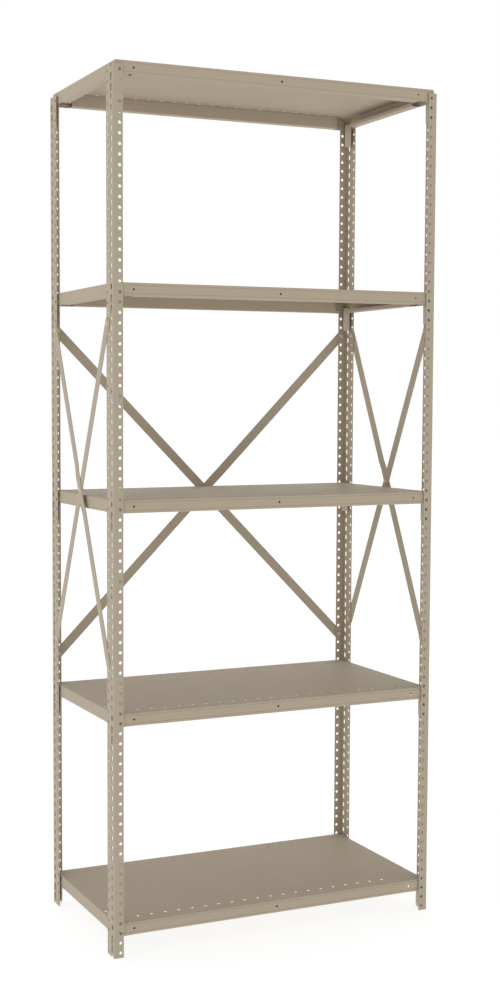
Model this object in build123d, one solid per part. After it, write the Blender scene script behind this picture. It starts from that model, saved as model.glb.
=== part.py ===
"""Open steel shelving unit: four punched angle posts, five lift-off shelves on clips, sway braces.

Working frame while modelling: X to the right, Y towards the back, Z up, with the origin on the floor
under the centre of the four posts.  save() moves everything by a few millimetres along Y, so that
the finished model's origin is the bottom centre of its bounding box.
"""
import os
from math import atan2, degrees, hypot

from build123d import *

os.makedirs("parts", exist_ok=True)

# ------------------------------------------------------------------ driving dimensions, mm
UNIT_WIDTH = 924.0            # over the posts' outer side faces, along X
UNIT_DEPTH = 462.0            # over the posts' outer front and back faces, along Y
PITCH = 25.4                  # spacing of the punching up the posts
POST_PITCHES = 87             # post height, in pitches

POST_SHEET = 2.0
POST_FACE_FLANGE = 25.4       # flange that faces the front or the back
POST_SIDE_FLANGE = 47.3       # flange that faces the side
POST_BEND = 3.0               # outside radius of the bend
HOLE_DIAMETER = 8.0           # round holes, half a pitch off the slots
FACE_HOLE_INSET = 17.2        # from the post's outer side face
SIDE_HOLE_INSET = 39.3        # from the post's outer front or back face
SLOT_LENGTH = 14.2
SLOT_WIDTH = 8.0
SLOT_INSET = 15.0             # from the post's outer front or back face

SHELF_COUNT = 5
SHELF_SPACING_PITCHES = 21
TOP_SLOT = 86                 # slot that the top shelf's clips hang in, counted from the floor
SHELF_SHEET = 1.0
SHELF_SIDE_GAP = 7.0          # from the posts' outer side faces to the shelf's ends
SHELF_FACE_GAP = 4.5          # from the posts' outer front faces to the shelf's lip
LIP_HEIGHT = 33.0
SHELF_BEND = 2.0
CREASE_DEPTH = 0.6
CREASE_WIDTH = 2.4
CREASE_DROPS = (4.8, 25.3)    # below the deck's top, on the front and rear lips
BOX_WIDTH = 25.4              # closed box along the front and the rear lip
BOX_END = 46.0                # from the shelf's end to the box's end, which clears the clip
CHANNEL_WIDTH = 25.4          # channel along each end lip
CHANNEL_RETURN = 9.5
CHANNEL_END = 66.0            # from the shelf's front or rear to the channel's end
LIP_HOLE_DIAMETER = 5.5       # in the box's outer wall only
LIP_HOLE_SPACING = 406.4
DECK_HOLE_DIAMETER = 8.0
DECK_HOLE_COUNT = 21
DECK_HOLE_SPACING = 38.1
DECK_HOLE_ROW = 189.0         # from the shelf's middle to each row
CORNER_HOLE_X = 444.5
CORNER_HOLE_Y = -125.7

CLIP_SHEET = 1.6
CLIP_REACH = 17.3             # from the post's outer side face to the clip's fold
CLIP_WING_END = (9.8, 37.3)   # far end of the wing, inward from the two outer faces
CLIP_SHOULDER = 2.8           # shoulder that the shelf rests on, above the upper slot's centre
CLIP_DROP = 50.5              # below the shoulder
CLIP_RISE = 15.2              # above the shoulder, inside the shelf
CLIP_STEP = 9.0               # where the shoulder ends and the upstand begins
HOOK_OUT = 4.0                # beyond the post's outer side face
HOOK_TOP = 1.3                # below the slot's centre
HOOK_SEAT = 6.9
HOOK_BOTTOM = 14.0
HOOK_SLACK = 0.3              # between the hook and the post's outer face

BRACE_WIDTH = 25.4
BRACE_SHEET = 2.0
BRACE_END = 12.7              # beyond the bolt's centre
BRACE_CORNER = 6.0
BRACE_TOP = 62.5              # bolt heights, in pitches
BACK_BRACE_BOTTOM = 27.5
SIDE_BRACE_BOTTOM = 29.5
JOGGLE_FLAT = 40.0            # half length of the stretch that steps over the other strip
JOGGLE_RAMP = 30.0

BOLT_DIAMETER = 6.2
BOLT_HOLE = 7.0               # in the braces
HEAD_DIAMETER = 12.4
HEAD_HEIGHT = 3.0
NUT_ACROSS = 11.1
NUT_HEIGHT = 5.0
NUT_BORE = 6.4
BOLT_TAIL = 0.5               # thread past the nut

# ------------------------------------------------------------------ worked out from those
HALF_WIDTH = UNIT_WIDTH / 2
HALF_DEPTH = UNIT_DEPTH / 2
POST_HEIGHT = POST_PITCHES * PITCH
SHELF_WIDTH = UNIT_WIDTH - 2 * SHELF_SIDE_GAP
SHELF_DEPTH = UNIT_DEPTH - 2 * SHELF_FACE_GAP
REAR_REACH = HALF_DEPTH + 2 * BRACE_SHEET + NUT_HEIGHT + BOLT_TAIL
CENTRING = (HALF_DEPTH - REAR_REACH) / 2
CORNERS = (("front_left", -1, -1), ("front_right", 1, -1), ("rear_left", -1, 1), ("rear_right", 1, 1))


def save(name, pieces):
    """Write one node, moved so that the origin is the bottom centre of the bounding box."""
    group = pieces if isinstance(pieces, (list, tuple)) else [pieces]
    solids = [solid for piece in group for solid in (Pos(0, CENTRING, 0) * piece).solids()]
    shape = solids[0] if len(solids) == 1 else Compound(children=solids)
    shape.label = name
    export_step(shape, f"parts/{name}.step")


def to_corner(shape, side_x, side_y):
    """Put a piece modelled at the front left corner, measured inward from its two outer faces."""
    if side_x > 0:
        shape = mirror(shape, about=Plane.YZ)
    if side_y > 0:
        shape = mirror(shape, about=Plane.XZ)
    return Pos(side_x * HALF_WIDTH, side_y * HALF_DEPTH, 0) * shape


def slot_height(shelf):
    """Height of the upper slot that this shelf's clips hang in; shelf 0 is the top one."""
    return (TOP_SLOT - shelf * SHELF_SPACING_PITCHES) * PITCH


# ------------------------------------------------------------------ posts
def post():
    face_flange = Pos(POST_FACE_FLANGE / 2, POST_SHEET / 2) * Rectangle(POST_FACE_FLANGE, POST_SHEET)
    side_flange = Pos(POST_SHEET / 2, POST_SIDE_FLANGE / 2) * Rectangle(POST_SHEET, POST_SIDE_FLANGE)
    section = face_flange + side_flange
    section = fillet(section.vertices().sort_by_distance((0, 0))[0], POST_BEND)
    inner_corner = section.vertices().sort_by_distance((POST_SHEET, POST_SHEET))[0]
    section = fillet(inner_corner, POST_BEND - POST_SHEET)
    angle = extrude(section, POST_HEIGHT)

    face_holes = Sketch()
    side_holes = Sketch()
    for row in range(POST_PITCHES):
        height = (row + 0.5) * PITCH
        face_holes += Pos(FACE_HOLE_INSET, height) * Circle(HOLE_DIAMETER / 2)
        side_holes += Pos(SIDE_HOLE_INSET, height) * Circle(HOLE_DIAMETER / 2)
    for row in range(POST_PITCHES + 1):
        side_holes += Pos(SLOT_INSET, row * PITCH) * Rot(0, 0, 90) * SlotOverall(SLOT_LENGTH, SLOT_WIDTH)
    through_face = extrude(Plane.XZ * face_holes, POST_BEND, both=True)
    through_side = extrude(Plane.YZ * side_holes, POST_BEND, both=True)
    return angle - through_face - through_side


# ------------------------------------------------------------------ shelves
def shelf():
    """One shelf pan with boxed long lips and channelled end lips; the top of its deck is at height 0."""
    def block(width, depth, height, radius):
        body = Pos(0, 0, -height / 2) * Box(width, depth, height)
        upper_edges = body.faces().sort_by(Axis.Z)[-1].edges()
        return fillet(body.edges().filter_by(Axis.Z) + upper_edges, radius)

    inner_width = SHELF_WIDTH - 2 * SHELF_SHEET
    inner_depth = SHELF_DEPTH - 2 * SHELF_SHEET
    outside = block(SHELF_WIDTH, SHELF_DEPTH, LIP_HEIGHT, SHELF_BEND)
    inside = block(inner_width, inner_depth, LIP_HEIGHT, SHELF_BEND - SHELF_SHEET)
    pan = outside - Pos(0, 0, -SHELF_SHEET) * inside

    box_length = SHELF_WIDTH - 2 * BOX_END
    channel_length = SHELF_DEPTH - 2 * CHANNEL_END
    box_wall = SHELF_DEPTH / 2 - BOX_WIDTH + SHELF_SHEET / 2
    channel_wall = SHELF_WIDTH / 2 - CHANNEL_WIDTH + SHELF_SHEET / 2
    floor_level = SHELF_SHEET / 2 - LIP_HEIGHT
    return_level = CHANNEL_RETURN / 2 - LIP_HEIGHT
    for side in (-1, 1):
        box_middle = side * (SHELF_DEPTH - BOX_WIDTH) / 2
        channel_middle = side * (SHELF_WIDTH - CHANNEL_WIDTH) / 2
        pan += Pos(0, box_middle, floor_level) * Box(box_length, BOX_WIDTH, SHELF_SHEET)
        pan += Pos(0, side * box_wall, -LIP_HEIGHT / 2) * Box(box_length, SHELF_SHEET, LIP_HEIGHT)
        pan += Pos(channel_middle, 0, floor_level) * Box(CHANNEL_WIDTH, channel_length, SHELF_SHEET)
        pan += Pos(side * channel_wall, 0, return_level) * Box(SHELF_SHEET, channel_length, CHANNEL_RETURN)

    rib = Box(inner_width, 2 * CREASE_DEPTH, CREASE_WIDTH)
    groove = Box(SHELF_WIDTH - 4 * SHELF_BEND, 2 * CREASE_DEPTH, CREASE_WIDTH)
    for face in (-1, 1):
        for drop in CREASE_DROPS:
            pan += Pos(0, face * inner_depth / 2, -drop) * rib
            pan -= Pos(0, face * SHELF_DEPTH / 2, -drop) * groove

    holes = Sketch()
    for row in (-DECK_HOLE_ROW, DECK_HOLE_ROW):
        with_spacing = GridLocations(DECK_HOLE_SPACING, 0, DECK_HOLE_COUNT, 1)
        holes += [Pos(0, row) * place * Circle(DECK_HOLE_DIAMETER / 2) for place in with_spacing]
    for side in (-1, 1):
        holes += Pos(side * CORNER_HOLE_X, CORNER_HOLE_Y) * Circle(DECK_HOLE_DIAMETER / 2)
    pan -= extrude(holes, 2 * SHELF_SHEET, both=True)

    drill = Rot(90, 0, 0) * Cylinder(LIP_HOLE_DIAMETER / 2, BOX_WIDTH)
    for x in (-LIP_HOLE_SPACING, 0, LIP_HOLE_SPACING):
        for side in (-1, 1):
            pan -= Pos(x, side * SHELF_DEPTH / 2, -LIP_HEIGHT / 2) * drill
    return pan


# ------------------------------------------------------------------ shelf clips
def clip():
    """Folded clip at the front left corner, with the upper slot's centre at height 0."""
    wall = POST_SHEET + 0.2
    low = CLIP_SHOULDER - CLIP_DROP
    high = CLIP_SHOULDER + CLIP_RISE

    def hook(slot):
        return [
            (wall, slot - HOOK_SEAT), (-HOOK_SLACK, slot - HOOK_SEAT), (-HOOK_SLACK, slot - HOOK_BOTTOM),
            (0.8 - HOOK_OUT, slot - HOOK_BOTTOM), (-HOOK_OUT, slot - HOOK_BOTTOM + 1.0),
            (-HOOK_OUT, slot - HOOK_TOP - 1.5), (1.5 - HOOK_OUT, slot - HOOK_TOP), (wall, slot - HOOK_TOP),
        ]

    outline = [(wall, CLIP_SHOULDER), (CLIP_STEP, CLIP_SHOULDER), (CLIP_STEP, high), (CLIP_REACH, high),
               (CLIP_REACH, low), (wall, low)] + hook(-PITCH) + hook(0)
    web_face = make_face(Plane.XZ * Polyline(*outline, close=True))
    web = Pos(0, SLOT_INSET, 0) * extrude(web_face, CLIP_SHEET / 2, both=True)

    run_x = CLIP_WING_END[0] - CLIP_REACH
    run_y = CLIP_WING_END[1] - SLOT_INSET
    length = hypot(run_x, run_y)
    middle = Pos(CLIP_REACH, SLOT_INSET, (low + high) / 2)
    turn = Rot(0, 0, degrees(atan2(run_y, run_x)))
    wing = middle * turn * Pos(length / 2, 0, 0) * Box(length, CLIP_SHEET, high - low)
    fold = middle * Cylinder(CLIP_SHEET / 2, high - low)
    return web + wing + fold


# ------------------------------------------------------------------ sway braces
def strip(length, stepped):
    """Flat strip along X, centred, lying on the plane z = 0, with a bolt hole at each end and middle."""
    half = length / 2 + BRACE_END
    if stepped:
        rise = BRACE_SHEET
        ramp_end = JOGGLE_FLAT + JOGGLE_RAMP
        under = [(-half, 0), (-ramp_end, 0), (-JOGGLE_FLAT, rise), (JOGGLE_FLAT, rise), (ramp_end, 0), (half, 0)]
        over = [(x, z + BRACE_SHEET) for x, z in reversed(under)]
        profile = make_face(Plane.XZ * Polyline(*under, *over, close=True))
        bar = extrude(profile, BRACE_WIDTH / 2, both=True)
    else:
        bar = Pos(0, 0, BRACE_SHEET / 2) * Box(2 * half, BRACE_WIDTH, BRACE_SHEET)
    bar = fillet(bar.edges().filter_by(Axis.Z), BRACE_CORNER)
    for x in (-length / 2, 0, length / 2):
        bar -= Pos(x, 0, 0) * Cylinder(BOLT_HOLE / 2, 8 * BRACE_SHEET)
    return bar


def outward_frame(face, across, height):
    """Frame on an outer face of the unit: local Z points outward, local X runs level, local Y up."""
    if face == "back":
        return Plane(origin=(across, HALF_DEPTH, height), x_dir=(1, 0, 0), z_dir=(0, 1, 0))
    side = -1 if face == "left" else 1
    return Plane(origin=(side * HALF_WIDTH, across, height), x_dir=(0, 1, 0), z_dir=(side, 0, 0))


def brace_pair(face, half_run, bottom, top):
    """The two strips of one X: the first lies flat on the posts, the second steps over it."""
    middle = (bottom + top) / 2
    rise = top - bottom
    length = hypot(2 * half_run, rise)
    slope = degrees(atan2(rise, 2 * half_run))
    frame = outward_frame(face, 0, middle)
    level = 1 if frame.y_dir.Z > 0 else -1
    flat = frame * Rot(0, 0, -level * slope) * strip(length, stepped=False)
    over = frame * Rot(0, 0, level * slope) * strip(length, stepped=True)
    return flat, over


# ------------------------------------------------------------------ bolts and nuts
def bolt(grip):
    """Bolt along Z with the underside of its head at z = 0 and its shank going down."""
    head = Pos(0, 0, HEAD_HEIGHT / 2) * Cylinder(HEAD_DIAMETER / 2, HEAD_HEIGHT)
    head = fillet(head.faces().sort_by(Axis.Z)[-1].edges(), 2.2)
    shank_length = grip + NUT_HEIGHT + BOLT_TAIL
    shank = Pos(0, 0, -shank_length / 2) * Cylinder(BOLT_DIAMETER / 2, shank_length)
    return head + shank


def nut(grip):
    """The nut of the same bolt, against the far side of the grip."""
    prism = extrude(RegularPolygon(NUT_ACROSS / 2, 6, major_radius=False), NUT_HEIGHT)
    prism -= Cylinder(NUT_BORE / 2, 4 * NUT_HEIGHT)
    return Pos(0, 0, -grip - NUT_HEIGHT) * prism


END_GRIP = BRACE_SHEET + POST_SHEET
CROSSING_GRIP = 2 * BRACE_SHEET


def end_fasteners(face, half_run, bottom, top):
    """Bolts with their heads outside, and nuts inside the posts, at an X's four ends."""
    bolts = []
    nuts = []
    for across in (-half_run, half_run):
        for height in (bottom, top):
            seat = outward_frame(face, across, height) * Pos(0, 0, BRACE_SHEET)
            bolts.append(seat * bolt(END_GRIP))
            nuts.append(seat * nut(END_GRIP))
    return bolts, nuts


def crossing_fasteners(face, height):
    """Bolt and nut at an X's middle; behind the shelf the flat head goes on the inside."""
    frame = outward_frame(face, 0, height)
    if face == "back":
        seat = frame * Rot(180, 0, 0)
    else:
        seat = frame * Pos(0, 0, CROSSING_GRIP)
    return seat * bolt(CROSSING_GRIP), seat * nut(CROSSING_GRIP)


# ------------------------------------------------------------------ assembly
one_post = post()
one_shelf = shelf()
one_clip = clip()

for corner, side_x, side_y in CORNERS:
    save(f"post_{corner}", to_corner(one_post, side_x, side_y))

for shelf_index in range(SHELF_COUNT):
    slot = slot_height(shelf_index)
    deck = slot + CLIP_SHOULDER + LIP_HEIGHT
    save(f"shelf_{shelf_index + 1}", Pos(0, 0, deck) * one_shelf)
    for corner, side_x, side_y in CORNERS:
        save(f"clip_{shelf_index + 1}_{corner}", Pos(0, 0, slot) * to_corner(one_clip, side_x, side_y))

back_run = HALF_WIDTH - FACE_HOLE_INSET
side_run = HALF_DEPTH - SIDE_HOLE_INSET
crossing_bolts = []
crossing_nuts = []
for face, half_run, bottom_pitch in (
    ("back", back_run, BACK_BRACE_BOTTOM),
    ("left", side_run, SIDE_BRACE_BOTTOM),
    ("right", side_run, SIDE_BRACE_BOTTOM),
):
    bottom = bottom_pitch * PITCH
    top = BRACE_TOP * PITCH
    flat, over = brace_pair(face, half_run, bottom, top)
    save(f"{face}_brace_flat", flat)
    save(f"{face}_brace_stepped", over)
    end_bolts, end_nuts = end_fasteners(face, half_run, bottom, top)
    save(f"{face}_brace_bolts", end_bolts)
    save(f"{face}_brace_nuts", end_nuts)
    crossing_bolt, crossing_nut = crossing_fasteners(face, (bottom + top) / 2)
    crossing_bolts.append(crossing_bolt)
    crossing_nuts.append(crossing_nut)
save("crossing_bolts", crossing_bolts)
save("crossing_nuts", crossing_nuts)
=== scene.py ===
"""Open steel shelving unit: the finished sheet metal, paint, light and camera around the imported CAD.

Every CAD node is replaced by a finer piece.  Sheet parts are cut as flat blanks, with their holes and
rolled edges, and then folded, so bends, beads and punched edges come out as they do on real sheet.
All modelling is in millimetres in the working frame of the CAD (origin on the floor under the centre
of the four posts); pieces are scaled to metres and moved to the row frame as the last step.
"""
from math import atan2, cos, hypot, pi, radians, sin, sqrt, tan

import bmesh
import bpy
import numpy as np
from mathutils import Matrix, Vector, geometry


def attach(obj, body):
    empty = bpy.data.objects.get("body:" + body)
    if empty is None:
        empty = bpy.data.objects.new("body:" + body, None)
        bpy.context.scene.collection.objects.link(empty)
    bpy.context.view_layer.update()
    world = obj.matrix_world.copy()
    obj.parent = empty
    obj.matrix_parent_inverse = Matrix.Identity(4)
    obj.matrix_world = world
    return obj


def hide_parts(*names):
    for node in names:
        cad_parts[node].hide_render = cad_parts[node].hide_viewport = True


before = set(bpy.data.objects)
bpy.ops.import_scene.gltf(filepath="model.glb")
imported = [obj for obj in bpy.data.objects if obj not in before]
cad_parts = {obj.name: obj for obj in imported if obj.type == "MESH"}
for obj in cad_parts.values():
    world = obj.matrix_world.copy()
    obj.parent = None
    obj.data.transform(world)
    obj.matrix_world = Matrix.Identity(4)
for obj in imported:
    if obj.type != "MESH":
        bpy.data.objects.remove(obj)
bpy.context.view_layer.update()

# ------------------------------------------------------------------ dimensions, mm
UNIT_WIDTH, UNIT_DEPTH = 924.0, 462.0
PITCH, POST_PITCHES = 25.4, 87
POST_SHEET, POST_FACE_FLANGE, POST_SIDE_FLANGE, POST_BEND, POST_EDGE = 2.0, 25.4, 47.3, 3.0, 0.3
HOLE_DIAMETER, FACE_HOLE_INSET, SIDE_HOLE_INSET = 8.0, 17.2, 39.3
SLOT_LENGTH, SLOT_WIDTH, SLOT_INSET = 14.2, 8.0, 15.0
SHELF_COUNT, SHELF_SPACING_PITCHES, TOP_SLOT = 5, 21, 86
SHELF_WIDTH, SHELF_DEPTH, SHELF_SHEET, SHELF_BEND, SHELF_EDGE = 910.0, 453.0, 1.0, 2.0, 0.2
LIP_HEIGHT, CREASE_DEPTH, CREASE_WIDTH = 33.0, 1.2, 5.2
CREASE_DROPS, CREASE_FADE = (4.8, 25.3), (4, 12)
BOX_WIDTH, BOX_END, BOX_GAP = 25.4, 46.0, 0.1
CHANNEL_WIDTH, CHANNEL_RETURN, CHANNEL_END = 25.4, 9.5, 66.0
CORNER_SLIT, CORNER_RELIEF, FLAP_STEP = 0.15, 0.05, 1.0
LIP_HOLE_DIAMETER, LIP_HOLE_SPACING = 5.5, 406.4
DECK_HOLE_DIAMETER, DECK_HOLE_COUNT, DECK_HOLE_SPACING, DECK_HOLE_ROW = 8.0, 21, 38.1, 189.0
CORNER_HOLE_X, CORNER_HOLE_Y = 444.5, -125.7
CLIP_SHEET, CLIP_EDGE, CLIP_BEND, CLIP_GAP = 1.6, 0.25, 1.5, 0.2
CLIP_REACH, CLIP_WING_END, CLIP_STEP = 17.3, (9.8, 37.3), 9.0
CLIP_SHOULDER, CLIP_DROP, CLIP_RISE = 2.8, 50.5, 15.2
HOOK_OUT, HOOK_TOP, HOOK_SEAT, HOOK_BOTTOM, HOOK_SLACK = 4.0, 1.3, 6.9, 14.0, 0.3
BRACE_WIDTH, BRACE_SHEET, BRACE_EDGE, BRACE_END, BRACE_CORNER = 25.4, 2.0, 0.3, 12.7, 6.0
BRACE_TOP, BACK_BRACE_BOTTOM, SIDE_BRACE_BOTTOM = 62.5, 27.5, 29.5
JOGGLE_FLAT, JOGGLE_RAMP = 40.0, 30.0
BOLT_DIAMETER, BOLT_HOLE, HEAD_DIAMETER, HEAD_HEIGHT, HEAD_RIM = 6.2, 7.0, 12.4, 3.0, 0.9
DRIVE_WIDTH, DRIVE_FLOOR = 1.5, 1.7
NUT_ACROSS, NUT_HEIGHT, NUT_BORE, NUT_LEAD, NUT_CROWN, BOLT_TAIL = 11.1, 5.0, 6.4, 0.5, 0.96, 0.5

HALF_WIDTH, HALF_DEPTH = UNIT_WIDTH / 2, UNIT_DEPTH / 2
POST_HEIGHT = POST_PITCHES * PITCH
REAR_REACH = HALF_DEPTH + 2 * BRACE_SHEET + NUT_HEIGHT + BOLT_TAIL
CENTRING = (HALF_DEPTH - REAR_REACH) / 2
CORNERS = (("front_left", -1, -1), ("front_right", 1, -1), ("rear_left", -1, 1), ("rear_right", 1, 1))


# ------------------------------------------------------------------ flat outlines
def circle(x, y, diameter, count=28):
    turns = np.arange(count) * 2 * pi / count
    return np.column_stack((x + diameter / 2 * np.cos(turns), y + diameter / 2 * np.sin(turns)))


def upright_slot(x, y, length, width, count=9):
    """Closed slot whose long side runs along y."""
    radius = width / 2
    reach = length / 2 - radius
    half = np.linspace(0, pi, count)
    top = np.column_stack((x + radius * np.cos(half), y + reach + radius * np.sin(half)))
    bottom = np.column_stack((x - radius * np.cos(half), y - reach - radius * np.sin(half)))
    return np.vstack((top, bottom))


def rounded(corners, count=5):
    """Outline through (x, y, radius) corners, each rounded to its radius."""
    points = []
    total = len(corners)
    for i, (x, y, radius) in enumerate(corners):
        here = np.array((x, y), float)
        before = np.array(corners[i - 1][:2], float) - here
        after = np.array(corners[(i + 1) % total][:2], float) - here
        if radius <= 0:
            points.append(here)
            continue
        a, b = before / np.linalg.norm(before), after / np.linalg.norm(after)
        half = np.arccos(np.clip(a @ b, -1, 1)) / 2
        setback = radius / tan(half)
        centre = here + (a + b) / np.linalg.norm(a + b) * radius / sin(half)
        start, end = here + a * setback - centre, here + b * setback - centre
        first = atan2(start[1], start[0])
        sweep = (atan2(end[1], end[0]) - first + pi) % (2 * pi) - pi
        for step in np.linspace(0, 1, count):
            angle = first + sweep * step
            points.append(centre + radius * np.array((cos(angle), sin(angle))))
    return np.array(points)


# ------------------------------------------------------------------ blanks, cuts and folds
def signed_area(loop):
    x, y = loop[:, 0], loop[:, 1]
    return 0.5 * float(np.sum(x * np.roll(y, -1) - np.roll(x, -1) * y))


def into_sheet(loop, distance):
    """The loop moved sideways into the material, which lies on its left."""
    ahead = np.roll(loop, -1, axis=0) - loop
    ahead /= np.linalg.norm(ahead, axis=1)[:, None]
    left = np.column_stack((-ahead[:, 1], ahead[:, 0]))
    mean = left + np.roll(left, 1, axis=0)
    mean /= np.linalg.norm(mean, axis=1)[:, None]
    spread = np.clip(np.sum(mean * left, axis=1), 0.4, 1)
    return loop + mean * (distance / spread)[:, None]


def blank(outline, holes, sheet, edge):
    """Flat sheet, half its thickness either side of height 0, with every cut edge broken."""
    loops = [outline if signed_area(outline) > 0 else outline[::-1]]
    loops += [hole if signed_area(hole) < 0 else hole[::-1] for hole in holes]
    flat, sides, owner, edges = [], [], [], []
    for number, loop in enumerate(loops):
        start = len(owner)
        count = len(loop)
        flat.append(into_sheet(loop, edge))
        sides.append(loop)
        owner += [number] * count
        edges += [(start + i, start + (i + 1) % count) for i in range(count)]
    flat, sides = np.vstack(flat), np.vstack(sides)
    found = geometry.delaunay_2d_cdt([Vector(p) for p in flat], edges, [], 1, 1e-6)
    source = [origins[0] for origins in found[3]]
    half = sheet / 2
    total = len(flat)
    rings = ((flat, half), (sides, half - edge), (sides, edge - half), (flat, -half))
    verts = np.vstack([np.column_stack((ring, np.full(total, height))) for ring, height in rings])
    faces = []
    for triangle in found[2]:
        a, b, c = (source[i] for i in triangle)
        if owner[a] == owner[b] == owner[c] and owner[a] > 0:
            continue
        faces.append((a, b, c))
        faces.append((c + 3 * total, b + 3 * total, a + 3 * total))
    for ring in range(3):
        upper, lower = ring * total, (ring + 1) * total
        faces += [(upper + b, upper + a, lower + a, lower + b) for a, b in edges]
    return verts, faces


def cut(shape, cuts):
    """The same shape with extra edges where it crosses each (axis, position)."""
    mesh = bmesh.new()
    made = [mesh.verts.new(p) for p in shape[0]]
    for face in shape[1]:
        mesh.faces.new([made[i] for i in face])
    for axis, position in cuts:
        spot, normal = Vector((0, 0, 0)), Vector((0, 0, 0))
        spot[axis] = position
        normal[axis] = 1
        everything = mesh.verts[:] + mesh.edges[:] + mesh.faces[:]
        bmesh.ops.bisect_plane(mesh, geom=everything, dist=1e-4, plane_co=spot, plane_no=normal)
    mesh.verts.index_update()
    verts = np.array([v.co for v in mesh.verts])
    faces = [tuple(v.index for v in f.verts) for f in mesh.faces]
    mesh.free()
    return verts, faces


def bend_cuts(axis, start, end, count=7):
    return [(axis, position) for position in np.linspace(start, end, count)]


def lathe(profile, count=32):
    """Closed solid of revolution about Z; the profile runs from the axis back to the axis."""
    verts, faces, rows = [], [], []
    for radius, height in profile:
        if radius < 1e-9:
            rows.append([len(verts)] * count)
            verts.append((0, 0, height))
            continue
        rows.append(list(range(len(verts), len(verts) + count)))
        verts += [(radius * cos(2 * pi * i / count), radius * sin(2 * pi * i / count), height)
                  for i in range(count)]
    for lower, upper in zip(rows, rows[1:]):
        for i in range(count):
            j = (i + 1) % count
            ring = (lower[i], lower[j], upper[j], upper[i])
            faces.append(tuple(dict.fromkeys(ring)))
    return np.array(verts, float), faces


# ------------------------------------------------------------------ posts
def post():
    """Punched angle at the front left corner, measured inward from its two outer faces."""
    middle = POST_BEND - POST_SHEET / 2
    arc = middle * pi / 2
    start = -arc / 2

    def across_face(inset):
        return start - (inset - POST_BEND)

    def across_side(inset):
        return -start + (inset - POST_BEND)

    left, right = across_face(POST_FACE_FLANGE), across_side(POST_SIDE_FLANGE)
    notch = across_side(SLOT_INSET)
    near, far = notch - SLOT_WIDTH / 2, notch + SLOT_WIDTH / 2
    deep, top = SLOT_LENGTH / 2, POST_HEIGHT
    tip, mouth, nook = 0.8, 0.5, SLOT_WIDTH / 2 - 0.1
    outline = rounded([
        (left, 0, tip), (near, 0, mouth), (near, deep, nook), (far, deep, nook), (far, 0, mouth),
        (right, 0, tip), (right, top, tip), (far, top, mouth), (far, top - deep, nook),
        (near, top - deep, nook), (near, top, mouth), (left, top, tip),
    ])
    holes = []
    for row in range(POST_PITCHES):
        height = (row + 0.5) * PITCH
        holes.append(circle(across_face(FACE_HOLE_INSET), height, HOLE_DIAMETER))
        holes.append(circle(across_side(SIDE_HOLE_INSET), height, HOLE_DIAMETER))
    for row in range(1, POST_PITCHES):
        holes.append(upright_slot(notch, row * PITCH, SLOT_LENGTH, SLOT_WIDTH))
    verts, faces = cut(blank(outline, holes, POST_SHEET, POST_EDGE), bend_cuts(0, start, -start, 9))

    u, height, out = verts.T
    turn = np.clip((u - start) / middle, 0, pi / 2)
    reach = middle + out
    x = POST_BEND - reach * np.sin(turn) + np.maximum(start - u, 0)
    y = POST_BEND - reach * np.cos(turn) + np.maximum(u + start, 0)
    return np.column_stack((x, y, height)), faces


# ------------------------------------------------------------------ shelves
def bead(drop):
    """How deep the lip's pressed lines are at this distance below the top of the deck."""
    depth = np.zeros_like(drop)
    for centre in CREASE_DROPS:
        off = np.clip(np.abs(drop - centre) / (CREASE_WIDTH / 2), 0, 1)
        depth = np.maximum(depth, CREASE_DEPTH * (0.5 + 0.5 * np.cos(pi * off)))
    return depth


def folded(along, out, radius, runs):
    """Where a point lands, (across, up), when the sheet turns a right angle before each run."""
    across, up = along.copy(), out.copy()
    spot, heading, start = np.zeros(2), 0.0, 0.0
    for run in runs:
        past_edge = along > start
        turned = heading - np.clip((along - start) / radius, 0, pi / 2)
        centre = spot + radius * np.array((sin(heading), -cos(heading)))
        further = np.maximum(along - start - radius * pi / 2, 0)
        new_across = centre[0] - (radius + out) * np.sin(turned) + further * np.cos(turned)
        new_up = centre[1] + (radius + out) * np.cos(turned) + further * np.sin(turned)
        across, up = np.where(past_edge, new_across, across), np.where(past_edge, new_up, up)
        heading -= pi / 2
        spot = centre + radius * np.array((-sin(heading), cos(heading)))
        spot = spot + run * np.array((cos(heading), sin(heading)))
        start += radius * pi / 2 + run
    return across, up


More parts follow.
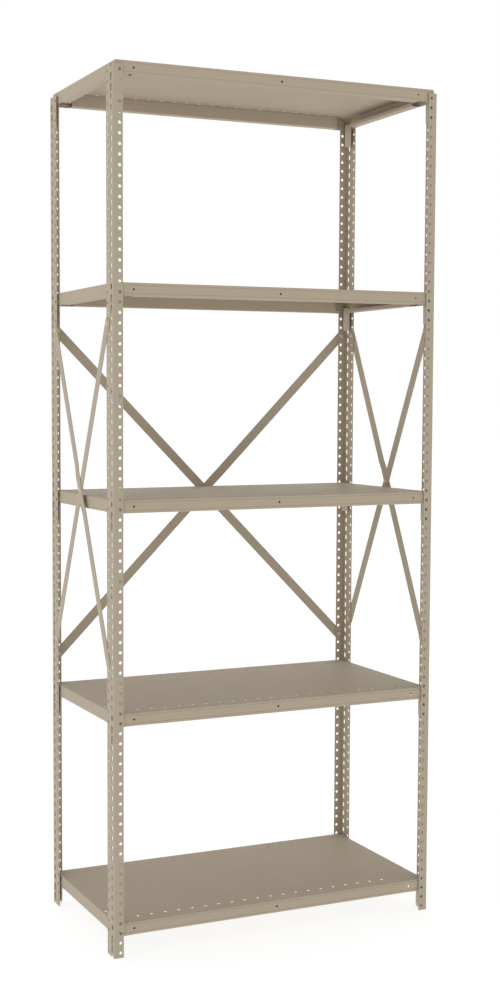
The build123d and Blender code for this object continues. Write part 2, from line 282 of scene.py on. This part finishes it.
def shelf():
    """One shelf pan folded from a cross-shaped blank, with the top of its deck at height 0.

    The long arms fold into closed boxes and the end arms into channels; both stop short of the corners.
    """
    middle = SHELF_BEND - SHELF_SHEET / 2
    arc = middle * pi / 2
    lip_run = LIP_HEIGHT - 2 * SHELF_BEND
    box_runs = (lip_run, BOX_WIDTH - 2 * SHELF_BEND, LIP_HEIGHT - SHELF_BEND - SHELF_SHEET - BOX_GAP)
    channel_runs = (lip_run, CHANNEL_WIDTH - 2 * SHELF_BEND, CHANNEL_RETURN - SHELF_BEND)
    flat_x, flat_y = SHELF_WIDTH / 2 - SHELF_BEND, SHELF_DEPTH / 2 - SHELF_BEND
    lip_x, lip_y = flat_x + arc, flat_y + arc
    end_x = flat_x + 3 * arc + sum(channel_runs)
    end_y = flat_y + 3 * arc + sum(box_runs)
    lip_end_x, lip_end_y = lip_x + lip_run + SHELF_BEND, lip_y + lip_run + SHELF_BEND
    slit_x, slit_y = lip_x + lip_run - 0.5, lip_y + lip_run - 0.5
    end_lip = SHELF_DEPTH / 2 - SHELF_SHEET - CORNER_SLIT
    box_half, channel_half = SHELF_WIDTH / 2 - BOX_END, SHELF_DEPTH / 2 - CHANNEL_END
    channel_step, box_step = channel_half + FLAP_STEP, box_half + FLAP_STEP
    nook_x, nook_y = flat_x - CORNER_RELIEF, flat_y - CORNER_RELIEF
    fine, heel, tip, flap = 0.3, 0.8, 1.2, 1.5
    quarter = [
        (end_x, channel_half, flap), (slit_x, channel_half, fine), (slit_x, channel_step, fine),
        (lip_end_x, channel_step, heel), (lip_end_x, end_lip, tip), (lip_x + 1, end_lip, fine),
        (lip_x + 0.3, nook_y, fine), (nook_x, nook_y, 0.4), (nook_x, lip_y + 0.3, fine),
        (SHELF_WIDTH / 2, lip_y + 1, fine), (SHELF_WIDTH / 2, lip_end_y, tip),
        (box_step, lip_end_y, heel), (box_step, slit_y, fine), (box_half, slit_y, fine),
        (box_half, end_y, flap),
    ]
    corners = []
    for sign_x, sign_y in ((1, 1), (-1, 1), (-1, -1), (1, -1)):
        part = [(sign_x * x, sign_y * y, radius) for x, y, radius in quarter]
        corners += part if sign_x * sign_y > 0 else part[::-1]
    holes = []
    for row in (-DECK_HOLE_ROW, DECK_HOLE_ROW):
        for column in range(DECK_HOLE_COUNT):
            x = (column - (DECK_HOLE_COUNT - 1) / 2) * DECK_HOLE_SPACING
            holes.append(circle(x, row, DECK_HOLE_DIAMETER))
    for side in (-1, 1):
        holes.append(circle(side * CORNER_HOLE_X, CORNER_HOLE_Y, DECK_HOLE_DIAMETER))
        for x in (-LIP_HOLE_SPACING, 0, LIP_HOLE_SPACING):
            holes.append(circle(x, side * (lip_y + LIP_HEIGHT / 2 - SHELF_BEND), LIP_HOLE_DIAMETER, 20))

    cuts = []
    for side in (-1, 1):
        for axis, start, runs in ((0, flat_x, channel_runs), (1, flat_y, box_runs)):
            for run in runs:
                cuts += bend_cuts(axis, side * start, side * (start + arc), 6)
                start += arc + run
        cuts += [(0, side * (SHELF_WIDTH / 2 - inset)) for inset in CREASE_FADE]
        for drop in CREASE_DROPS:
            rows = drop + np.linspace(-CREASE_WIDTH / 2, CREASE_WIDTH / 2, 9)
            cuts += [(1, side * (lip_y + row - SHELF_BEND)) for row in rows]
    verts, faces = cut(blank(rounded(corners), holes, SHELF_SHEET, SHELF_EDGE), cuts)

    u, v, out = verts.T
    wide, deep = np.abs(u), np.abs(v)
    on_end = (wide > flat_x + 1e-3) & (deep < SHELF_DEPTH / 2 - 0.5)
    on_long = (deep > flat_y + 1e-3) & ~on_end
    drop = deep - lip_y + SHELF_BEND
    sunk = np.where(on_long & (drop < LIP_HEIGHT - SHELF_BEND), bead(drop), 0)
    sunk = sunk * np.clip((SHELF_WIDTH / 2 - CREASE_FADE[0] - wide) / np.ptp(CREASE_FADE), 0, 1)
    past_x, past_y = wide - flat_x, deep - flat_y
    end_a, end_z = folded(past_x, out, middle, channel_runs)
    open_a, open_z = folded(past_x, out, middle, (2 * LIP_HEIGHT,))
    long_a, long_z = folded(past_y, out - sunk, middle, box_runs)
    bare_a, bare_z = folded(past_y, out - sunk, middle, (2 * LIP_HEIGHT,))
    clear_x, clear_y = deep > channel_half + 0.5, wide > box_half + 0.5
    end_a, end_z = np.where(clear_x, open_a, end_a), np.where(clear_x, open_z, end_z)
    long_a, long_z = np.where(clear_y, bare_a, long_a), np.where(clear_y, bare_z, long_z)
    x = np.where(on_end, np.sign(u) * (flat_x + end_a), u)
    y = np.where(on_long, np.sign(v) * (flat_y + long_a), v)
    z = np.where(on_end, end_z, np.where(on_long, long_z, out)) - SHELF_SHEET / 2
    return np.column_stack((x, y, z)), faces


# ------------------------------------------------------------------ shelf clips
def clip():
    """Folded clip at the front left corner, with the upper slot's centre at height 0."""
    wall = POST_SHEET + CLIP_GAP
    low, high = CLIP_SHOULDER - CLIP_DROP, CLIP_SHOULDER + CLIP_RISE
    run_x, run_y = CLIP_WING_END[0] - CLIP_REACH, CLIP_WING_END[1] - SLOT_INSET
    turn_all = atan2(run_y, run_x)
    setback = CLIP_BEND * tan(turn_all / 2)
    start = CLIP_REACH - setback
    arc = CLIP_BEND * turn_all
    wing_length = hypot(run_x, run_y) - setback
    finish = start + arc + wing_length

    def hook(slot):
        seat, bottom, top = slot - HOOK_SEAT, slot - HOOK_BOTTOM, slot - HOOK_TOP
        return [(wall, seat, 0), (-HOOK_SLACK, seat, 0.6), (-HOOK_SLACK, bottom, 0.5),
                (-HOOK_OUT, bottom, 1.4), (-HOOK_OUT, top, 1.8), (wall, top, 0.5)]

    outline = rounded(
        [(wall, low, 1.0), (finish, low, 3.0), (finish, high, 3.0), (CLIP_STEP, high, 1.5),
         (CLIP_STEP, CLIP_SHOULDER, 0.8), (wall, CLIP_SHOULDER, 0.8)]
        + hook(0)[::-1] + hook(-PITCH)[::-1])
    verts, faces = cut(blank(outline, [], CLIP_SHEET, CLIP_EDGE), bend_cuts(0, start, start + arc, 9))

    s, height, out = verts.T
    turn = np.clip((s - start) / CLIP_BEND, 0, turn_all)
    past = np.maximum(s - start - arc, 0)
    web = np.minimum(s, start)
    reach = CLIP_BEND - out
    x = web + reach * np.sin(turn) + past * cos(turn_all)
    y = SLOT_INSET + CLIP_BEND - reach * np.cos(turn) + past * sin(turn_all)
    return np.column_stack((x, y, height)), faces


# ------------------------------------------------------------------ sway braces
def strip(length, stepped):
    """Strip along X on the plane z = 0, with a bolt hole at each end and in the middle."""
    end, side = length / 2 + BRACE_END, BRACE_WIDTH / 2
    outline = rounded([(-end, -side, BRACE_CORNER), (end, -side, BRACE_CORNER),
                       (end, side, BRACE_CORNER), (-end, side, BRACE_CORNER)], 9)
    holes = [circle(x, 0, BOLT_HOLE) for x in (-length / 2, 0, length / 2)]
    ramp = np.linspace(JOGGLE_FLAT, JOGGLE_FLAT + JOGGLE_RAMP, 11)
    cuts = [(0, way * x) for way in (-1, 1) for x in ramp] if stepped else []
    verts, faces = cut(blank(outline, holes, BRACE_SHEET, BRACE_EDGE), cuts)
    verts[:, 2] += BRACE_SHEET / 2
    if stepped:
        along = np.clip((JOGGLE_FLAT + JOGGLE_RAMP - np.abs(verts[:, 0])) / JOGGLE_RAMP, 0, 1)
        verts[:, 2] += BRACE_SHEET * along * along * (3 - 2 * along)
    return verts, faces


# ------------------------------------------------------------------ bolts and nuts
def bolt(grip):
    """Slotted truss-head bolt along Z, the underside of its head at z = 0."""
    rim, crown = HEAD_DIAMETER / 2, HEAD_HEIGHT - HEAD_RIM
    dome = (rim ** 2 + crown ** 2) / (2 * crown)
    shank, tip = BOLT_DIAMETER / 2, -(grip + NUT_HEIGHT + BOLT_TAIL)
    profile = [(0, tip), (shank - 0.8, tip), (shank, tip + 0.8), (shank, -0.1), (shank + 0.1, 0),
               (rim - 0.2, 0), (rim, 0.2), (rim, HEAD_RIM)]
    for step in np.linspace(0, 1, 9)[1:]:
        radius = rim * (1 - step)
        profile.append((radius, HEAD_HEIGHT - dome + sqrt(dome ** 2 - radius ** 2)))
    half, draft = DRIVE_WIDTH / 2, 0.06
    sides = [(1, -half), (1, -half + draft), (1, half - draft), (1, half)]
    verts, faces = cut(lathe(profile), sides + [(2, DRIVE_FLOOR)])
    in_slot = (np.abs(verts[:, 1]) < half - draft / 2) & (verts[:, 2] > DRIVE_FLOOR)
    verts[in_slot, 2] = DRIVE_FLOOR
    return verts, faces


def nut(grip):
    """Chamfered hexagon nut of the same bolt, against the far side of the grip."""
    flat, bore, count = NUT_ACROSS / 2, NUT_BORE / 2, 48
    verts, faces = [], []
    turns = np.arange(count) * 2 * pi / count
    hexagon = flat / np.cos((turns + pi / 6) % (pi / 3) - pi / 6)
    crown = flat * NUT_CROWN
    fall = np.maximum(hexagon - crown, 0) * tan(radians(30))
    rings = [(bore, NUT_LEAD), (bore + NUT_LEAD, 0), (crown, 0), (hexagon, fall),
             (hexagon, NUT_HEIGHT - fall), (crown, NUT_HEIGHT), (bore + NUT_LEAD, NUT_HEIGHT),
             (bore, NUT_HEIGHT - NUT_LEAD)]
    for radius, height in rings:
        radius, height = np.broadcast_to(radius, count), np.broadcast_to(height, count)
        verts.append(np.column_stack((radius * np.cos(turns), radius * np.sin(turns), height)))
    for ring in range(len(rings)):
        a, b = ring * count, (ring + 1) % len(rings) * count
        faces += [(a + i, b + i, b + (i + 1) % count, a + (i + 1) % count) for i in range(count)]
    verts = np.vstack(verts)
    verts[:, 2] -= grip + NUT_HEIGHT
    return verts, faces


# ------------------------------------------------------------------ placing
def to_corner(side_x, side_y, height=0.0):
    """From a corner's own measure, inward from its two outer faces, to the working frame."""
    place = Matrix.Translation((side_x * HALF_WIDTH, side_y * HALF_DEPTH, height))
    return place @ Matrix.Diagonal((-side_x, -side_y, 1, 1))


def outward_frame(face, across, height):
    """Frame on an outer face of the unit: local Z points outward, local X runs level."""
    if face == "back":
        origin, along, out = (across, HALF_DEPTH, height), (1, 0, 0), (0, 1, 0)
    else:
        side = -1 if face == "left" else 1
        origin, along, out = (side * HALF_WIDTH, across, height), (0, 1, 0), (side, 0, 0)
    along, out = Vector(along), Vector(out)
    turn = Matrix((along, out.cross(along), out)).transposed().to_4x4()
    return Matrix.Translation(origin) @ turn


def piece(node, body, material, parts):
    """One finished piece, made of (shape, place) parts, that replaces a CAD node."""
    verts, faces = [], []
    for (points, polygons), place in parts:
        start = sum(len(group) for group in verts)
        turn = np.array(place.to_3x3())
        verts.append(points @ turn.T + np.array(place.translation))
        flipped = np.linalg.det(turn) < 0
        for polygon in polygons:
            ordered = polygon[::-1] if flipped else polygon
            faces.append([start + i for i in ordered])
    points = (np.vstack(verts) + (0, CENTRING, 0)) / 1000
    mesh = bpy.data.meshes.new(node + "_finished")
    mesh.from_pydata(points.tolist(), [], faces)
    made = bmesh.new()
    made.from_mesh(mesh)
    bmesh.ops.recalc_face_normals(made, faces=made.faces)
    made.to_mesh(mesh)
    made.free()
    mesh.shade_smooth()
    mesh.materials.append(material)
    made_object = bpy.data.objects.new(node + "_finished", mesh)
    bpy.context.scene.collection.objects.link(made_object)
    shading = made_object.modifiers.new("flat faces stay flat", "WEIGHTED_NORMAL")
    shading.weight = 90
    shading.keep_sharp = True
    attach(made_object, body)
    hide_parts(node)
    return made_object


# ------------------------------------------------------------------ paint
def paint(name, colour, roughness, seed):
    """Baked enamel: faint cloudiness in colour and gloss, orange peel, and the sheet's slow waviness."""
    material = bpy.data.materials.new(name)
    material.use_nodes = True
    nodes, links = material.node_tree.nodes, material.node_tree.links
    surface = nodes["Principled BSDF"]
    where = nodes.new("ShaderNodeTexCoord")
    shifted = nodes.new("ShaderNodeMapping")
    shifted.inputs["Location"].default_value = (seed, 2.3 * seed, -1.7 * seed)
    links.new(where.outputs["Object"], shifted.inputs["Vector"])

    def noise(scale, detail):
        made = nodes.new("ShaderNodeTexNoise")
        made.inputs["Scale"].default_value = scale
        made.inputs["Detail"].default_value = detail
        links.new(shifted.outputs["Vector"], made.inputs["Vector"])
        return made.outputs["Fac"]

    def spread(source, low, high):
        made = nodes.new("ShaderNodeMapRange")
        made.inputs["From Min"].default_value = 0.3
        made.inputs["From Max"].default_value = 0.7
        made.inputs["To Min"].default_value = low
        made.inputs["To Max"].default_value = high
        links.new(source, made.inputs["Value"])
        return made.outputs["Result"]

    def tinted(source, low, high):
        made = nodes.new("ShaderNodeMix")
        made.data_type = "RGBA"
        links.new(spread(source, 0, 1), made.inputs["Factor"])
        made.inputs[6].default_value = (*[low * c for c in colour], 1)
        made.inputs[7].default_value = (*[high * c for c in colour], 1)
        return made.outputs[2]

    cloudy = tinted(noise(4, 2), 0.988, 1.012)
    speckled = tinted(noise(700, 2), 0.97, 1.03)
    both = nodes.new("ShaderNodeMix")
    both.data_type = "RGBA"
    both.inputs["Factor"].default_value = 0.35
    links.new(cloudy, both.inputs[6])
    links.new(speckled, both.inputs[7])
    links.new(both.outputs[2], surface.inputs["Base Color"])
    links.new(spread(noise(18, 5), roughness - 0.05, roughness + 0.06), surface.inputs["Roughness"])
    surface.inputs["Specular IOR Level"].default_value = 0.12

    def bump(source, strength, distance, under=None):
        made = nodes.new("ShaderNodeBump")
        made.inputs["Strength"].default_value = strength
        made.inputs["Distance"].default_value = distance
        links.new(source, made.inputs["Height"])
        if under is not None:
            links.new(under, made.inputs["Normal"])
        return made.outputs["Normal"]

    waves = bump(noise(7, 1), 0.4, 0.0003)
    peel = bump(noise(420, 2), 0.25, 0.00005, waves)
    links.new(peel, surface.inputs["Normal"])
    return material


POST_PAINT = paint("beige enamel on posts", (0.452, 0.388, 0.294), 0.50, 0.0)
# the clips wear the posts' enamel; this lighter colour is painted light, standing in for the brighter
# light the clips catch
CLIP_PAINT_LIGHTENED_AS_PAINTED_LIGHT = paint("beige enamel on clips, lightened as painted light", (0.515, 0.452, 0.356), 0.46, 3.1)
BRACE_PAINT = paint("beige enamel on braces", (0.458, 0.390, 0.298), 0.50, 5.7)
SHELF_PAINT = paint("beige enamel on shelves", (0.456, 0.386, 0.291), 0.55, 8.9)
# bolts and nuts wear the same enamel; this much lighter colour is painted light, standing in for light
# on the bolt heads
FASTENER_PAINT_LIGHTENED_AS_PAINTED_LIGHT = paint("beige enamel on bolts and nuts, lightened as painted light", (0.660, 0.580, 0.455), 0.40, 12.4)

# ------------------------------------------------------------------ assembly
one_post, one_shelf, one_clip = post(), shelf(), clip()
for corner, side_x, side_y in CORNERS:
    piece(f"post_{corner}", "frame", POST_PAINT, [(one_post, to_corner(side_x, side_y))])
for index in range(SHELF_COUNT):
    slot_height = (TOP_SLOT - index * SHELF_SPACING_PITCHES) * PITCH
    deck = Matrix.Translation((0, 0, slot_height + CLIP_SHOULDER + LIP_HEIGHT))
    name = f"shelf_{index + 1}"
    piece(name, name, SHELF_PAINT, [(one_shelf, deck)])
    for corner, side_x, side_y in CORNERS:
        place = to_corner(side_x, side_y, slot_height)
        piece(f"clip_{index + 1}_{corner}", "frame", CLIP_PAINT_LIGHTENED_AS_PAINTED_LIGHT, [(one_clip, place)])

end_bolt, end_nut = bolt(BRACE_SHEET + POST_SHEET), nut(BRACE_SHEET + POST_SHEET)
crossing_bolt, crossing_nut = bolt(2 * BRACE_SHEET), nut(2 * BRACE_SHEET)
crossing_bolts, crossing_nuts = [], []
back_run, side_run = HALF_WIDTH - FACE_HOLE_INSET, HALF_DEPTH - SIDE_HOLE_INSET
for number, (face, half_run, bottom_pitch) in enumerate((
        ("back", back_run, BACK_BRACE_BOTTOM), ("left", side_run, SIDE_BRACE_BOTTOM),
        ("right", side_run, SIDE_BRACE_BOTTOM))):
    bottom, top = bottom_pitch * PITCH, BRACE_TOP * PITCH
    length = hypot(2 * half_run, top - bottom)
    slope = atan2(top - bottom, 2 * half_run)
    centre = outward_frame(face, 0, (bottom + top) / 2)
    level = 1 if centre.col[1].z > 0 else -1
    flat_place = centre @ Matrix.Rotation(-level * slope, 4, "Z")
    over_place = centre @ Matrix.Rotation(level * slope, 4, "Z")
    for kind, stepped, place in (("flat", False, flat_place), ("stepped", True, over_place)):
        parts = [(strip(length, stepped), place)]
        piece(f"{face}_brace_{kind}", "frame", BRACE_PAINT, parts)
    seats = []
    for order, (across, height) in enumerate(
            ((-half_run, bottom), (-half_run, top), (half_run, bottom), (half_run, top))):
        seat = outward_frame(face, across, height) @ Matrix.Translation((0, 0, BRACE_SHEET))
        stopped_at = radians(37 * order + 71 * number + 12)  # no two heads stop at the same angle
        seats.append(seat @ Matrix.Rotation(stopped_at, 4, "Z"))
    for kind, shape in (("bolts", end_bolt), ("nuts", end_nut)):
        parts = [(shape, seat) for seat in seats]
        piece(f"{face}_brace_{kind}", "frame", FASTENER_PAINT_LIGHTENED_AS_PAINTED_LIGHT, parts)
    if face == "back":
        seat = centre @ Matrix.Rotation(pi, 4, "X")
    else:
        seat = centre @ Matrix.Translation((0, 0, 2 * BRACE_SHEET))
    crossing_bolts.append((crossing_bolt, seat))
    crossing_nuts.append((crossing_nut, seat))
piece("crossing_bolts", "frame", FASTENER_PAINT_LIGHTENED_AS_PAINTED_LIGHT, crossing_bolts)
piece("crossing_nuts", "frame", FASTENER_PAINT_LIGHTENED_AS_PAINTED_LIGHT, crossing_nuts)

# ------------------------------------------------------------------ floor, light and camera
floor_mesh = bpy.data.meshes.new("pale_floor")
floor_mesh.from_pydata([(-30, -30, 0), (30, -30, 0), (30, 30, 0), (-30, 30, 0)], [], [(0, 1, 2, 3)])
floor = bpy.data.objects.new("pale_floor", floor_mesh)
bpy.context.scene.collection.objects.link(floor)
floor_paint = bpy.data.materials.new("pale floor")
floor_paint.use_nodes = True
floor_surface = floor_paint.node_tree.nodes["Principled BSDF"]
floor_surface.inputs["Base Color"].default_value = (0.3, 0.3, 0.3, 1)
floor_surface.inputs["Roughness"].default_value = 1.0
floor_surface.inputs["Specular IOR Level"].default_value = 0.0
floor_surface.inputs["Emission Color"].default_value = (1, 1, 1, 1)
floor_surface.inputs["Emission Strength"].default_value = 0.82
floor_mesh.materials.append(floor_paint)

world = bpy.data.worlds.new("white studio")
world.use_nodes = True
sky = world.node_tree.nodes["Background"]
direction = world.node_tree.nodes.new("ShaderNodeTexCoord")
above_front = world.node_tree.nodes.new("ShaderNodeVectorMath")
above_front.operation = "DOT_PRODUCT"
above_front.inputs[1].default_value = (0, -0.45, 0.893)
fade = world.node_tree.nodes.new("ShaderNodeMapRange")
fade.inputs["From Min"].default_value = 0.45
fade.inputs["From Max"].default_value = 0.95
fade.inputs["To Min"].default_value = 1.0
fade.inputs["To Max"].default_value = 0.4
world.node_tree.links.new(direction.outputs["Generated"], above_front.inputs[0])
world.node_tree.links.new(above_front.outputs["Value"], fade.inputs["Value"])
world.node_tree.links.new(fade.outputs["Result"], sky.inputs["Strength"])
sky.inputs["Color"].default_value = (1, 1, 1, 1)
bpy.context.scene.world = world


def softbox(name, place, target, size, watts):
    data = bpy.data.lights.new(name, "AREA")
    data.shape = "DISK"
    data.size = size
    data.energy = watts
    light = bpy.data.objects.new(name, data)
    light.location = place
    light.rotation_euler = (Vector(target) - Vector(place)).to_track_quat("-Z", "Y").to_euler()
    bpy.context.scene.collection.objects.link(light)


softbox("key from the camera's left", (-3.2, -4.2, 3.2), (0, 0, 1.1), 2.4, 5)

VIEW_FROM, VIEW_DOWN, VIEW_TURN = (-1.7830, -3.5738, 1.4043), 0.069, -0.402
camera_data = bpy.data.cameras.new("photo view")
camera_data.sensor_width = 36
camera_data.lens = 53.34
camera_data.shift_x = 0.10054
camera_data.shift_y = 0.00503
camera = bpy.data.objects.new("photo view", camera_data)
camera.location = VIEW_FROM
camera.rotation_euler = (radians(90) - VIEW_DOWN, 0, VIEW_TURN)
bpy.context.scene.collection.objects.link(camera)
bpy.context.scene.camera = camera
bpy.context.scene.view_settings.view_transform = "Standard"
